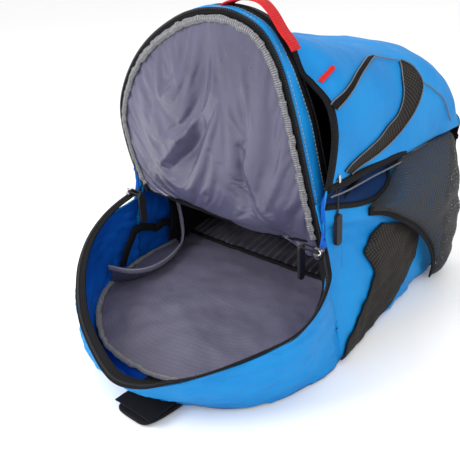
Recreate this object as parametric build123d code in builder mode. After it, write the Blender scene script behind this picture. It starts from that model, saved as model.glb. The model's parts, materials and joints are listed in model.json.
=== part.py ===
"""Daypack lying on its back with the main compartment's lid folded open. Millimetres.

+X is the wearer's left side, +Y runs from the top of the pack to its base, +Z is up, away from
the wearer's back. The origin is on the underside of the centre back pad, below the lid's fold line.
"""
import math
import os

from build123d import *

os.makedirs("parts", exist_ok=True)

# ---- driving dimensions ----
MOUTH_HALF = 142.0  # half the width of the mouth at the fold line
MOUTH_LENGTH = 228.0  # fold line to the top of the mouth, along the rim
MOUTH_POWER = 2.6  # superellipse exponent of the mouth's outline
FOLD_HEIGHT = 128.0  # fold line above the ground
RIM_SLOPE = 20.5  # the open rim sags this much towards the pack's top, degrees
LID_LEAN = 6.0  # the open lid leans this much past upright, degrees
SEAM_HEIGHT = 186.0  # side seam between the main body and the front pocket
BASE_Y = 285.0  # inside of the base panel
CLOTH = 3.0  # outer fabric with its backing
LINING = 2.0
PAD_THICK = 14.0
BACK_THICK = 6.0
TAPE_WIDTH = 10.0
TAPE_THICK = 2.0
LID_GAP = 2.5  # lid's inner face above the rim when it is closed
GUSSET = 22.0  # lid's side strip, between its two zips
ZIP_START = 18.0  # the tapes of the lid begin this far from the fold line
APPLIQUE = 1.4  # thickness of mesh and webbing sewn on top of a panel

RIM = Plane(
    origin=(0, 0, FOLD_HEIGHT),
    x_dir=(1, 0, 0),
    z_dir=(0, math.sin(math.radians(RIM_SLOPE)), -math.cos(math.radians(RIM_SLOPE))),
)
LID = Plane(
    origin=(0, 0, FOLD_HEIGHT),
    x_dir=(1, 0, 0),
    z_dir=(0, -math.cos(math.radians(LID_LEAN)), -math.sin(math.radians(LID_LEAN))),
)
SIDES = {"left": 1, "right": -1}


def finish(part, name):
    """Label a finished piece and write it."""
    part.label = name
    export_step(part, f"parts/{name}.step")


def mouth_points(inset=0.0, power=MOUTH_POWER, half=MOUTH_HALF, length=MOUTH_LENGTH):
    """Points of the mouth's superellipse, from one end of the fold line to the other."""
    points = []
    for step in range(25):
        angle = math.pi * step / 24
        cosine = math.cos(angle)
        across = (half - inset) * math.copysign(abs(cosine) ** (2 / power), cosine)
        along = (length - inset) * math.sin(angle) ** (2 / power)
        points.append((across, along))
    return points


def mouth_face(inset=0.0):
    """The mouth's outline, closed along the fold line, as a flat face in XY."""
    points = mouth_points(inset)
    with BuildSketch() as face:
        with BuildLine():
            Spline(*points)
            Line(points[-1], points[0])
        make_face()
    return face.sketch_local


def mouth_band(inset, width, start):
    """Band along the mouth's edge, `width` wide, from `start` along both sides, flat in XY."""
    with BuildSketch() as band:
        add(mouth_face(inset))
        add(mouth_face(inset + width), mode=Mode.SUBTRACT)
        with Locations((0, start / 2)):
            Rectangle(2 * MOUTH_HALF + 20, start, mode=Mode.SUBTRACT)
    return band.sketch_local


def flat_band(plane, inset, width, start, thick):
    """Solid of a mouth band on a plane, `thick` mm towards the plane's back."""
    with BuildPart() as solid:
        with BuildSketch(plane):
            add(mouth_band(inset, width, start))
        extrude(amount=-thick)
    return solid.part


def yz_prism(points, low_x, high_x):
    """Solid of a closed outline in Y and Z, between two X positions."""
    with BuildPart() as prism:
        with BuildSketch(Plane.YZ.offset(low_x)):
            with BuildLine():
                Polyline(*points, close=True)
            make_face()
        extrude(amount=high_x - low_x)
    return prism.part


# ---- outer forms that several pieces share ----
# (height, half width, top end, base end) of the main body's level sections
BODY_LEVELS = [
    (PAD_THICK, 136.0, 172.0, 278.0),
    (50.0, 158.0, 216.0, 290.0),
    (FOLD_HEIGHT, 148.0, 244.0, 290.0),
    (SEAM_HEIGHT, 149.0, 250.0, 290.0),
]


def body_form(grow):
    """Main body as a solid, grown outwards by `grow`, flat at the base."""
    with BuildPart() as form:
        for height, half, top, base in BODY_LEVELS:
            with BuildSketch(Plane.XY.offset(height)):
                outline = [
                    (across, -along)
                    for across, along in mouth_points(-grow, 2.4, half, top)
                ]
                with BuildLine():
                    Spline(*outline)
                    Line(outline[-1], (-half - grow, base))
                    Line((-half - grow, base), (half + grow, base))
                    Line((half + grow, base), outline[0])
                make_face()
        loft()
        split(bisect_by=Plane.XZ.offset(-BASE_Y), keep=Keep.TOP)
    return form.part


def pocket_form(grow):
    """Front pocket as a solid: its side outline and its arched section, grown by `grow`."""
    with BuildPart() as form:
        with BuildSketch(Plane.YZ.offset(-200)):
            with BuildLine():
                Line((9, SEAM_HEIGHT), (9, 345 + grow))
                Spline(
                    (9, 345 + grow),
                    (65, 329 + grow),
                    (150, 305 + grow),
                    (215, 290 + grow),
                    (258 + grow, 255 + grow),
                    (283 + grow, SEAM_HEIGHT),
                )
                Line((283 + grow, SEAM_HEIGHT), (9, SEAM_HEIGHT))
            make_face()
        extrude(amount=400)
        with BuildSketch(Plane.XZ.offset(-400)):
            with BuildLine():
                Spline(
                    (149 + grow, SEAM_HEIGHT),
                    (149 + grow, 235),
                    (136 + grow, 285 + grow),
                    (95, 325 + grow),
                    (0, 345 + grow),
                    (-95, 325 + grow),
                    (-136 - grow, 285 + grow),
                    (-149 - grow, 235),
                    (-149 - grow, SEAM_HEIGHT),
                )
                Line((-149 - grow, SEAM_HEIGHT), (149 + grow, SEAM_HEIGHT))
            make_face()
        extrude(amount=450, mode=Mode.INTERSECT)
    return form.part


body_outer = body_form(0)
body_inner = body_form(-CLOTH)
pocket_outer = pocket_form(0)
pocket_inner = pocket_form(-CLOTH)

# ---- back: pads that carry the pack on the ground, and the stiff panel above them ----
CENTRE_PAD_HALF = 28.0
SIDE_PAD_NEAR = 100.0
SIDE_PAD_FAR = 130.0
with BuildPart() as back_pad_centre:
    with BuildSketch():
        with Locations((0, 50)):
            RectangleRounded(2 * CENTRE_PAD_HALF, 400, 20)
    extrude(amount=PAD_THICK)
    fillet(back_pad_centre.faces().sort_by(Axis.Z)[-1].edges(), 4)
finish(back_pad_centre.part, "back_pad_centre")

for side, sign in SIDES.items():
    with BuildPart() as back_pad:
        with BuildSketch():
            with Locations((sign * (SIDE_PAD_NEAR + SIDE_PAD_FAR) / 2, 60)):
                RectangleRounded(SIDE_PAD_FAR - SIDE_PAD_NEAR, 350, 12)
        extrude(amount=PAD_THICK)
        fillet(back_pad.faces().sort_by(Axis.Z)[-1].edges(), 4)
    finish(back_pad.part, f"back_pad_{side}")

with BuildPart() as back_panel:
    with BuildSketch(Plane.XY.offset(PAD_THICK)):
        outline = [(x, -y) for x, y in mouth_points(0, 2.4, 131, 166)]
        with BuildLine():
            Spline(*outline)
            Polyline(outline[-1], (-131, BASE_Y - 8), (131, BASE_Y - 8), outline[0])
        make_face()
    extrude(amount=BACK_THICK)
finish(back_panel.part, "back_panel")

# ---- outer fabric of the main body, open at the mouth ----
# everything above the sloping rim, and above the side's front edge, is cut away
SIDE_EDGE_LEAN = 12.0
cut_above = yz_prism(
    [
        (-400, FOLD_HEIGHT - 400 * math.tan(math.radians(RIM_SLOPE))),
        (0, FOLD_HEIGHT),
        (SIDE_EDGE_LEAN, SEAM_HEIGHT + 1),
        (SIDE_EDGE_LEAN, 400),
        (-400, 400),
    ],
    -200,
    200,
)
with BuildPart() as body_shell:
    add(body_outer)
    add(body_inner, mode=Mode.SUBTRACT)
    add(cut_above, mode=Mode.SUBTRACT)
finish(body_shell.part, "body_shell")

with BuildPart() as base_panel:
    with BuildSketch(Plane.XZ.offset(-BASE_Y - 0.2)):
        with Locations((0, (SEAM_HEIGHT + 30) / 2)):
            RectangleRounded(286, SEAM_HEIGHT - 30, 28)
    extrude(amount=-CLOTH * 2)
finish(base_panel.part, "base_panel")

# ---- main zip: the body's half of the tape, and the binding sewn inside it ----
with BuildPart() as main_zip_tape_body:
    add(flat_band(RIM, 0, TAPE_WIDTH, 2, TAPE_THICK))
finish(main_zip_tape_body.part, "main_zip_tape_body")

BINDING_WIDTH = 4.0
with BuildPart() as rim_binding:
    add(flat_band(RIM.offset(0.2 + TAPE_THICK), TAPE_WIDTH - 1, BINDING_WIDTH, 20, TAPE_THICK))
finish(rim_binding.part, "rim_binding")

# ---- lid: lining wall, side strip between the zips, tapes and binding ----
LID_INNER = LID.offset(-LID_GAP)
LID_WALL = LID.offset(-LID_GAP - TAPE_THICK)
TAB_HALF = 118.0  # beside the fold line the wall is narrower, to clear the zip pulls
with BuildPart() as lid_lining:
    with BuildSketch(LID_WALL):
        add(mouth_face(2.4))
        with Locations((0, ZIP_START / 2)):
            Rectangle(2 * MOUTH_HALF + 20, ZIP_START, mode=Mode.SUBTRACT)
        with Locations((0, ZIP_START / 2 + 2)):
            Rectangle(2 * TAB_HALF, ZIP_START - 3.9)
    extrude(amount=-LINING)
finish(lid_lining.part, "lid_lining")

with BuildPart() as main_zip_tape_lid:
    add(flat_band(LID_INNER, 0, TAPE_WIDTH, ZIP_START, TAPE_THICK - 0.1))
finish(main_zip_tape_lid.part, "main_zip_tape_lid")

with BuildPart() as lid_binding:
    add(flat_band(LID_INNER, TAPE_WIDTH + 0.4, BINDING_WIDTH, ZIP_START, TAPE_THICK - 0.1))
finish(lid_binding.part, "lid_binding")

with BuildPart() as lid_gusset:
    add(flat_band(LID_WALL, 0, LINING, ZIP_START, GUSSET - TAPE_THICK))
finish(lid_gusset.part, "lid_gusset")

FRONT_TAPE_WIDTH = 8.0
LID_OUTER = LID.offset(-LID_GAP - GUSSET - 0.2)
with BuildPart() as front_zip_tape_lid:
    add(flat_band(LID_OUTER, 0, FRONT_TAPE_WIDTH, ZIP_START + 30, TAPE_THICK))
finish(front_zip_tape_lid.part, "front_zip_tape_lid")

# ---- front pocket: the panel that stays on the body, and the flap that the lid takes along ----
FLAP_HALF = 100.0
FLAP_START = 15.0
FLAP_END = 150.0
FLAP_LOW = 250.0
PANEL_START = 35.0
TAPE_EDGE = 5.0
SLIT = 0.5
with BuildPart() as pocket_skin:
    add(pocket_outer)
    add(pocket_inner, mode=Mode.SUBTRACT)

with BuildPart() as front_pocket_panel:
    add(pocket_skin.part)
    with Locations((0, PANEL_START, 0)):
        Box(400, 100, 800, align=(Align.CENTER, Align.MAX, Align.CENTER), mode=Mode.SUBTRACT)
    with Locations((0, FLAP_END + SLIT, FLAP_LOW)):
        Box(
            2 * (FLAP_HALF + SLIT),
            400,
            400,
            align=(Align.CENTER, Align.MAX, Align.MIN),
            mode=Mode.SUBTRACT,
        )
finish(front_pocket_panel.part, "front_pocket_panel")

with BuildPart() as front_pocket_flap:
    add(pocket_skin.part)
    with Locations((0, FLAP_START, FLAP_LOW)):
        Box(
            2 * FLAP_HALF,
            FLAP_END - FLAP_START,
            200,
            align=(Align.CENTER, Align.MIN, Align.MIN),
            mode=Mode.INTERSECT,
        )
finish(front_pocket_flap.part, "front_pocket_flap")

with BuildPart() as front_zip_tape_flap:
    add(pocket_skin.part)
    with Locations((0, FLAP_START, FLAP_LOW)):
        Box(
            2 * FLAP_HALF,
            TAPE_EDGE,
            200,
            align=(Align.CENTER, Align.MAX, Align.MIN),
            mode=Mode.INTERSECT,
        )
finish(front_zip_tape_flap.part, "front_zip_tape_flap")

for side, sign in SIDES.items():
    with BuildPart() as front_zip_tape:
        add(pocket_skin.part)
        with Locations((sign * (FLAP_HALF + SLIT), PANEL_START, SEAM_HEIGHT)):
            Box(
                60,
                TAPE_EDGE,
                200,
                align=(Align.MIN if sign > 0 else Align.MAX, Align.MAX, Align.MIN),
                mode=Mode.INTERSECT,
            )
    finish(front_zip_tape.part, f"front_zip_tape_{side}")

with BuildPart() as pocket_divider:
    with BuildSketch(Plane.YZ.offset(-144)):
        with BuildLine():
            Polyline((6, 122), (283, 148), (283, 150), (6, 124), close=True)
        make_face()
    extrude(amount=288)
    add(body_inner, mode=Mode.INTERSECT)
finish(pocket_divider.part, "pocket_divider")

# ---- mesh, webbing and piping sewn on top of the panels ----
pocket_raised = pocket_form(APPLIQUE)
body_raised = body_form(APPLIQUE)
FRONT_MESH = [
    (38, 198),
    (85, 205),
    (140, 215),
    (178, 235),
    (215, 262),
    (180, 283),
    (170, 258),
    (150, 238),
    (110, 225),
    (60, 211),
]
FRONT_BAND = [(36, 252), (36, 266), (150, 296), (150, 282)]
SIDE_MESH = [
    (62, 140),
    (55, 103),
    (72, 68),
    (48, 33),
    (42, 16),
    (75, 16),
    (105, 20),
    (138, 35),
    (150, 60),
    (132, 96),
    (96, 122),
]
SEAM_START = 36.0
SEAM_END = 270.0


def applique(raised, flush, outline, sign, beyond):
    """The layer between two forms inside an outline seen from the side, on one side only."""
    near, far = sorted((sign * beyond, sign * 300))
    with BuildPart() as layer:
        add(raised)
        add(flush, mode=Mode.SUBTRACT)
        add(yz_prism(outline, near, far), mode=Mode.INTERSECT)
    return layer.part


for side, sign in SIDES.items():
    finish(
        applique(pocket_raised, pocket_outer, FRONT_MESH, sign, FLAP_HALF),
        f"front_mesh_{side}",
    )
    finish(
        applique(pocket_raised, pocket_outer, FRONT_BAND, sign, FLAP_HALF + 2),
        f"front_band_{side}",
    )
    finish(applique(body_raised, body_outer, SIDE_MESH, sign, 100), f"side_mesh_{side}")
    with BuildPart() as seam_piping:
        with BuildSketch(Plane.XZ.offset(-SEAM_START)):
            with Locations((sign * 150.7, SEAM_HEIGHT + 2)):
                RectangleRounded(3, 4, 1.2)
        extrude(amount=SEAM_START - SEAM_END)
    finish(seam_piping.part, f"seam_piping_{side}")

# ---- net pocket on each side, open along its slanting mouth ----
NET_AT_SEAM = [
    (50, 156),
    (70, 152),
    (98, 170),
    (115, 183),
    (284, 183),
    (284, 15),
    (212, 15),
    (194, 57),
    (155, 98),
    (105, 130),
]
NET_AT_BULGE = [
    (108, 140),
    (122, 146),
    (136, 152),
    (148, 158),
    (262, 158),
    (262, 42),
    (222, 42),
    (204, 66),
    (172, 96),
    (138, 122),
]
NET_SEAM_X = 140.0
NET_EDGE_X = 158.0
NET_BULGE_X = 188.0
NET_THICK = 2.0
NET_MOUTH_X = 164.0  # the mouth gapes from the side panel out to here
BINDING_BAND = 7.0


def shrunk(outline, inset):
    """An outline moved inwards by about `inset`, towards its middle."""
    middle_y = sum(y for y, _ in outline) / len(outline)
    middle_z = sum(z for _, z in outline) / len(outline)
    return [
        (
            y + math.copysign(min(inset, abs(middle_y - y)), middle_y - y),
            z + math.copysign(min(inset, abs(middle_z - z)), middle_z - z),
        )
        for y, z in outline
    ]


def net_form(inset):
    """Net pocket as a solid: straight out of the side panel, then tapering to its bulge."""
    with BuildPart() as form:
        for outline, distance in ((NET_AT_SEAM, NET_EDGE_X), (NET_AT_BULGE, NET_BULGE_X - inset)):
            with BuildSketch(Plane.YZ.offset(distance)):
                with BuildLine():
                    Polyline(*shrunk(outline, inset), close=True)
                make_face()
        loft(ruled=True)
        add(yz_prism(shrunk(NET_AT_SEAM, inset), NET_SEAM_X, NET_EDGE_X))
    return form.part


# the mouth's edge runs from the net's seam corner down to its lower corner
MOUTH_EDGE = NET_AT_SEAM[:1] + NET_AT_SEAM[:5:-1]
mouth_outline = [(y - 60, z - 60) for y, z in MOUTH_EDGE] + [
    (y + 40, z + 30) for y, z in reversed(MOUTH_EDGE[1:-1])
]
with BuildPart() as net_skin:
    add(net_form(0))
    add(net_form(NET_THICK), mode=Mode.SUBTRACT)
    add(body_outer, mode=Mode.SUBTRACT)
    add(yz_prism(mouth_outline, NET_SEAM_X - 1, NET_MOUTH_X), mode=Mode.SUBTRACT)
with BuildPart() as net_whole:
    add(net_skin.part.solids().sort_by(SortBy.VOLUME)[-1])
binding_zone = yz_prism(mouth_outline, NET_MOUTH_X - 1, NET_MOUTH_X + BINDING_BAND)
with BuildPart() as net_binding:
    add(net_whole.part)
    add(binding_zone, mode=Mode.INTERSECT)
with BuildPart() as side_net:
    add(net_whole.part)
    add(binding_zone, mode=Mode.SUBTRACT)
for side, sign in SIDES.items():
    for piece, name in ((side_net.part, "side_net"), (net_binding.part, "net_binding")):
        finish(piece if sign > 0 else mirror(piece, Plane.YZ), f"{name}_{side}")

# ---- inside the main compartment: a sleeve on the back panel and a side organiser ----
SLEEVE_HALF = 118.0
SLEEVE_TOP = 60.0
SLEEVE_START = 51.0
FLOOR = PAD_THICK + BACK_THICK
with BuildPart() as inner_sleeve:
    with BuildSketch(Plane.XZ.offset(-SLEEVE_START)):
        with BuildLine():
            Polyline(
                (-SLEEVE_HALF, FLOOR),
                (-SLEEVE_HALF, SLEEVE_TOP),
                (SLEEVE_HALF, SLEEVE_TOP),
                (SLEEVE_HALF, FLOOR),
                (SLEEVE_HALF - LINING, FLOOR),
                (SLEEVE_HALF - LINING, SLEEVE_TOP - LINING),
                (LINING - SLEEVE_HALF, SLEEVE_TOP - LINING),
                (LINING - SLEEVE_HALF, FLOOR),
                close=True,
            )
        make_face()
    extrude(amount=SLEEVE_START - BASE_Y + 10)
finish(inner_sleeve.part, "inner_sleeve")

with BuildPart() as sleeve_hem:
    with BuildSketch(Plane.YZ.offset(-SLEEVE_HALF)):
        with Locations((SLEEVE_START - 3.2, SLEEVE_TOP - 1)):
            RectangleRounded(6, 5, 1.5)
    extrude(amount=2 * SLEEVE_HALF)
finish(sleeve_hem.part, "sleeve_hem")

ORGANISER_X = -112.0
ORGANISER_WALL = -138.0
ORGANISER_START = -78.0
ORGANISER_LENGTH = 120.0
ORGANISER_TOP = 86.0
with BuildPart() as organiser_pocket:
    with BuildSketch(Plane.XY.offset(FLOOR)):
        with BuildLine():
            Polyline(
                (ORGANISER_WALL, ORGANISER_START),
                (ORGANISER_X, ORGANISER_START),
                (ORGANISER_X, ORGANISER_START + ORGANISER_LENGTH),
                (ORGANISER_WALL, ORGANISER_START + ORGANISER_LENGTH),
                (ORGANISER_WALL, ORGANISER_START + ORGANISER_LENGTH - LINING),
                (ORGANISER_X - LINING, ORGANISER_START + ORGANISER_LENGTH - LINING),
                (ORGANISER_X - LINING, ORGANISER_START + LINING),
                (ORGANISER_WALL, ORGANISER_START + LINING),
                close=True,
            )
        make_face()
    extrude(amount=ORGANISER_TOP - FLOOR)
    add(body_inner, mode=Mode.INTERSECT)
finish(organiser_pocket.part, "organiser_pocket")

with BuildPart() as organiser_trim:
    with BuildSketch(Plane.XZ.offset(-ORGANISER_START)):
        with Locations((ORGANISER_X - 1, ORGANISER_TOP + 2)):
            RectangleRounded(5, 3.6, 1.2)
    extrude(amount=-ORGANISER_LENGTH)
finish(organiser_trim.part, "organiser_trim")

# ---- zip sliders with their pulls ----
SLIDER_WIDTH = 8.0
SLIDER_LENGTH = 12.0
SLIDER_PLATE = 1.6
SLIDER_THICK = 5.6
BRIDGE_WIDTH = 3.0
BRIDGE_HEIGHT = 3.8
BRIDGE_REACH = 4.0
LINK_RISE = 0.5
LINK_WIRE = 1.4


def slider_at(plane, turn):
    """Zip slider on a plane, with its bridge for the pull turned by `turn` degrees."""
    with BuildPart() as slider:
        for base in (0, SLIDER_THICK - SLIDER_PLATE):
            with BuildSketch(plane.offset(base)):
                RectangleRounded(SLIDER_WIDTH, SLIDER_LENGTH, 2.6)
            extrude(amount=SLIDER_PLATE)
        with BuildSketch(plane.offset(SLIDER_PLATE)):
            with Locations((0, SLIDER_LENGTH / 4)):
                Ellipse(1.4, 2.6)
        extrude(amount=SLIDER_THICK - 2 * SLIDER_PLATE)
        with BuildSketch(plane.offset(SLIDER_THICK)):
            with PolarLocations(BRIDGE_REACH - 1.1, 2, start_angle=turn):
                RectangleRounded(2.2, BRIDGE_WIDTH, 0.7)
        extrude(amount=BRIDGE_HEIGHT - 1.4)
        with BuildSketch(plane.offset(SLIDER_THICK + BRIDGE_HEIGHT - 1.4)):
            with Locations(Location((0, 0, 0), (0, 0, turn))):
                RectangleRounded(2 * BRIDGE_REACH, BRIDGE_WIDTH, 0.9)
        extrude(amount=1.4)
    return slider.part


MAIN_SLIDER_ALONG = 12.0
MAIN_SLIDER_ACROSS = 147.5
MAIN_PULL_X = 125.6
MAIN_PULL_LENGTH = 40.0
MAIN_PULL_WIDTH = 9.4
MAIN_PULL_THICK = 3.0
slope = math.radians(RIM_SLOPE)
for side, sign in SIDES.items():
    seat = Plane(
        origin=RIM.from_local_coords((sign * MAIN_SLIDER_ACROSS, MAIN_SLIDER_ALONG, -0.4)),
        x_dir=(1, 0, 0),
        z_dir=-RIM.z_dir,
    )
    finish(slider_at(seat, 0), f"main_slider_{side}")
    # the link runs from the bridge over the tape, and the pull hangs from it inside the mouth
    link_plane = seat.offset(SLIDER_THICK + LINK_RISE)
    link_inner = MAIN_PULL_X + MAIN_PULL_THICK / 2
    link_outer = MAIN_SLIDER_ACROSS + LINK_WIRE / 2
    middle = sign * ((link_inner + link_outer) / 2 - MAIN_SLIDER_ACROSS)
    with BuildPart() as main_pull:
        with BuildSketch(link_plane):
            with Locations((middle, 0)):
                RectangleRounded(link_outer - link_inner, 6.8, 1.2)
                RectangleRounded(
                    link_outer - link_inner - 2 * LINK_WIRE,
                    6.8 - 2 * LINK_WIRE,
                    0.6,
                    mode=Mode.SUBTRACT,
                )
        extrude(amount=LINK_WIRE)
        with BuildSketch(Plane.YZ.offset(sign * MAIN_PULL_X - MAIN_PULL_THICK / 2)):
            with Locations((link_plane.origin.Y, link_plane.origin.Z - MAIN_PULL_LENGTH / 2 + 1.2)):
                RectangleRounded(MAIN_PULL_WIDTH, MAIN_PULL_LENGTH, 4.6)
        extrude(amount=MAIN_PULL_THICK)
    finish(main_pull.part, f"main_pull_{side}")

FRONT_SLIDER_ALONG = 69.0
FRONT_SLIDER_ACROSS = 145.2
FRONT_PULL_CORD = 26.0
FRONT_PULL_LENGTH = 34.0
FRONT_PULL_WIDTH = 9.0
CORD_RADIUS = 1.1
FRONT_PULL_THICK = 4.0
front_seat = Plane(
    origin=LID.from_local_coords((FRONT_SLIDER_ACROSS - 2, FRONT_SLIDER_ALONG, -GUSSET)),
    x_dir=LID.z_dir,
    z_dir=(1, 0, 0),
)
with BuildPart() as front_slider:
    add(slider_at(front_seat, 90))
finish(front_slider.part, "front_slider")

HANGER_WIDTH = 9.0
HANGER_LENGTH = 15.0
hanger_top = front_seat.origin + Vector(SLIDER_THICK + LINK_RISE, 0, LINK_WIRE / 2)
hanger_plane = Plane(origin=hanger_top, x_dir=(0, 1, 0), z_dir=(1, 0, 0))
cord_top = -HANGER_LENGTH + LINK_WIRE / 2
cord_middle_x = CORD_RADIUS
with BuildPart() as front_pull:
    with BuildSketch(hanger_plane):
        with Locations((0, -HANGER_LENGTH / 2)):
            RectangleRounded(HANGER_WIDTH, HANGER_LENGTH, 2)
            RectangleRounded(
                HANGER_WIDTH - 2 * LINK_WIRE,
                HANGER_LENGTH - 2 * LINK_WIRE,
                1,
                mode=Mode.SUBTRACT,
            )
    extrude(amount=LINK_WIRE)
    with BuildSketch(
        Plane(origin=hanger_plane.from_local_coords((0, cord_top, cord_middle_x)), z_dir=(0, 0, -1))
    ):
        Circle(CORD_RADIUS)
    extrude(amount=FRONT_PULL_CORD)
    with BuildSketch(hanger_plane):
        with Locations((0, cord_top - FRONT_PULL_CORD - FRONT_PULL_LENGTH / 2 + 2)):
            RectangleRounded(FRONT_PULL_WIDTH, FRONT_PULL_LENGTH, 3.5)
    extrude(amount=FRONT_PULL_THICK)
finish(front_pull.part, "front_pull")

# ---- grab loop, sewn to the lid's side strip at its two ends ----
LOOP_WIDTH = 15.0
LOOP_THICK = 2.2
LOOP_CLEAR = 2.6
LOOP_PATH = [(34, 214), (40, 236), (62, 246), (86, 238), (104, 212), (113, 182), (108, 160)]
with BuildPart() as grab_loop:
    with BuildSketch(LID.offset(-LID_GAP - (GUSSET + LOOP_WIDTH) / 2)):
        with BuildLine():
            Spline(*LOOP_PATH)
        trace(line_width=LOOP_THICK)
        add(mouth_face(-LOOP_CLEAR), mode=Mode.SUBTRACT)
    extrude(amount=LOOP_WIDTH)
finish(grab_loop.part, "grab_loop")

# ---- shoulder straps, folded over beyond the pack's top and lying under it ----
STRAP_NEAR = 36.0
STRAP_FAR = 92.0
STRAP_TOPS = {"left": -207.0, "right": -116.0}
STRAP_END = 150.0
STRAP_THICK = 8.0
STRAP_BELOW = 0.6
STRAP_END_HALF = 20.0
TAB_LOW = 9.4
TAB_HIGH = 13.8
TAB_LENGTH = 57.0
LOCK_LENGTH = 20.0
WEB_HALF = 10.0
WEB_LOW = 3.0
WEB_THICK = 1.6
WEB_END = (98.0, 270.0)
strap_middle = (STRAP_NEAR + STRAP_FAR) / 2
for side, sign in SIDES.items():
    strap_top = STRAP_TOPS[side]
    with BuildPart() as strap_tab:
        with BuildSketch(Plane.XY.offset(TAB_LOW)):
            with Locations((sign * strap_middle, strap_top + TAB_LENGTH / 2)):
                RectangleRounded(STRAP_FAR - STRAP_NEAR, TAB_LENGTH, 3)
        extrude(amount=TAB_HIGH - TAB_LOW)
    finish(strap_tab.part, f"strap_tab_{side}")

    with BuildPart() as shoulder_strap:
        with BuildSketch(Plane.XY.offset(STRAP_BELOW)):
            with BuildLine():
                Polyline(
                    (sign * STRAP_NEAR, strap_top),
                    (sign * STRAP_FAR, strap_top),
                    (sign * STRAP_FAR, 40),
                    (sign * (strap_middle + STRAP_END_HALF), STRAP_END),
                    (sign * (strap_middle - STRAP_END_HALF), STRAP_END),
                    (sign * STRAP_NEAR, 40),
                    close=True,
                )
            make_face()
        extrude(amount=STRAP_THICK)
        fillet(shoulder_strap.edges().filter_by(Axis.Z), 4)
    finish(shoulder_strap.part, f"shoulder_strap_{side}")

    # three-bar buckle at the strap's lower end
    with BuildPart() as ladder_lock:
        with BuildSketch(Plane.XY.offset(WEB_LOW - 1)):
            with Locations((sign * strap_middle, STRAP_END + 1 + LOCK_LENGTH / 2)):
                RectangleRounded(28, LOCK_LENGTH, 3)
                with GridLocations(0, 8, 1, 2):
                    RectangleRounded(21, 3.4, 1.2, mode=Mode.SUBTRACT)
        extrude(amount=4)
    finish(ladder_lock.part, f"ladder_lock_{side}")

    with BuildPart() as strap_webbing:
        with BuildSketch(Plane.XY.offset(WEB_LOW)):
            with BuildLine():
                start_y = STRAP_END + LOCK_LENGTH + 2
                Polyline(
                    (sign * (strap_middle - WEB_HALF), start_y),
                    (sign * (strap_middle + WEB_HALF), start_y),
                    (sign * (WEB_END[0] + WEB_HALF - 2), WEB_END[1] - 4),
                    (sign * (WEB_END[0] - WEB_HALF + 2), WEB_END[1] + 4),
                    close=True,
                )
            make_face()
        extrude(amount=WEB_THICK)
    finish(strap_webbing.part, f"strap_webbing_{side}")
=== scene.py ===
"""Looks of a daypack that lies on its back with its lid folded open.

Shapes are worked out in millimetres in the CAD frame (+X the wearer's left, +Y towards the base,
+Z up) and become metres when a mesh is made.
"""

import json
import math

import bpy
import numpy as np
from mathutils import Matrix, Vector, noise


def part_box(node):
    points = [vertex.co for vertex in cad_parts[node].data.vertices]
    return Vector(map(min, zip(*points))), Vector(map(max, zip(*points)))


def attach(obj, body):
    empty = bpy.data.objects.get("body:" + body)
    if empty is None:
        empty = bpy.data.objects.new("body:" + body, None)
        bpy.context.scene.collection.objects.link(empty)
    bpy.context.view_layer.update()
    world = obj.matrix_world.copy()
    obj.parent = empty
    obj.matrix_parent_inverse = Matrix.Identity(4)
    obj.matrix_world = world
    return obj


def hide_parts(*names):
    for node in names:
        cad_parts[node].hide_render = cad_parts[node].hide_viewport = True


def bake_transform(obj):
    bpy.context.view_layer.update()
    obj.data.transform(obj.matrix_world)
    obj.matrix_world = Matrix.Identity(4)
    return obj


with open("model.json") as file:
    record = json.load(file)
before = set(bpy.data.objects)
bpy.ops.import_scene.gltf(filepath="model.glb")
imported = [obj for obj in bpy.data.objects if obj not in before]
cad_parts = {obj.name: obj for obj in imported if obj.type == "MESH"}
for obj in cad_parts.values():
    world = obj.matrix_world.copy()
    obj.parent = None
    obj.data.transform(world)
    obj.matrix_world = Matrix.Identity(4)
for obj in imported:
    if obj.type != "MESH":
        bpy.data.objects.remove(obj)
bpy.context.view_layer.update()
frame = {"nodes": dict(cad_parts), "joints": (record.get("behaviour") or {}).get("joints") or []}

MM = 0.001
JOINTS = {joint["name"]: joint for joint in frame["joints"]}
FOLD = np.array(JOINTS["lid_fold"]["pos_m"]) / MM
FOLD_TOP = FOLD[2] + 0.5  # the visible fold line lies just above the hinge line
SIDES = {"left": 1, "right": -1}
# a fold that fabric crosses: first body, second body and two heights; a piece given one is left on
# no body
LID_BEND = ("pack", "lid", 0.108, 0.140)
FLAP_BEND = ("pack", "front_flap", 0.195, 0.357)


# ------------------------------------------------------------------ curves and sheets
def spline(points, per=8):
    """Smooth curve through points, `per` samples for each stretch between two of them."""
    points = np.array(points, float)
    padded = np.vstack([2 * points[0] - points[1], points, 2 * points[-1] - points[-2]])
    steps = np.linspace(0, 1, per, endpoint=False)[:, None]
    pieces = []
    for a, b, c, d in zip(padded, padded[1:], padded[2:], padded[3:]):
        pieces.append(
            b
            + 0.5 * steps * (c - a)
            + steps**2 * (a - 2.5 * b + 2 * c - 0.5 * d)
            + steps**3 * (-0.5 * a + 1.5 * b - 1.5 * c + 0.5 * d)
        )
    return np.vstack(pieces + [points[-1:]])


def resample(points, count):
    """The same curve with `count` points spaced evenly along it."""
    points = np.array(points, float)
    lengths = np.r_[0, np.cumsum(np.linalg.norm(np.diff(points, axis=0), axis=1))]
    places = np.linspace(0, lengths[-1], count)
    return np.stack([np.interp(places, lengths, column) for column in points.T], axis=1)


def path(points, count, per=12):
    """Smooth curve through points, resampled evenly."""
    return resample(spline(points, per), count)


def skin(rows, per=8):
    """Sheet through a list of curves that all have the same number of points."""
    rows = np.array(rows, float)
    flat = rows.reshape(len(rows), -1)
    return spline(flat, per).reshape(-1, rows.shape[1], 3)


def smooth(value, low=0.0, high=1.0):
    """Smoothstep from 0 at `low` to 1 at `high`."""
    share = np.clip((value - low) / (high - low), 0, 1)
    return share * share * (3 - 2 * share)


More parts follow.
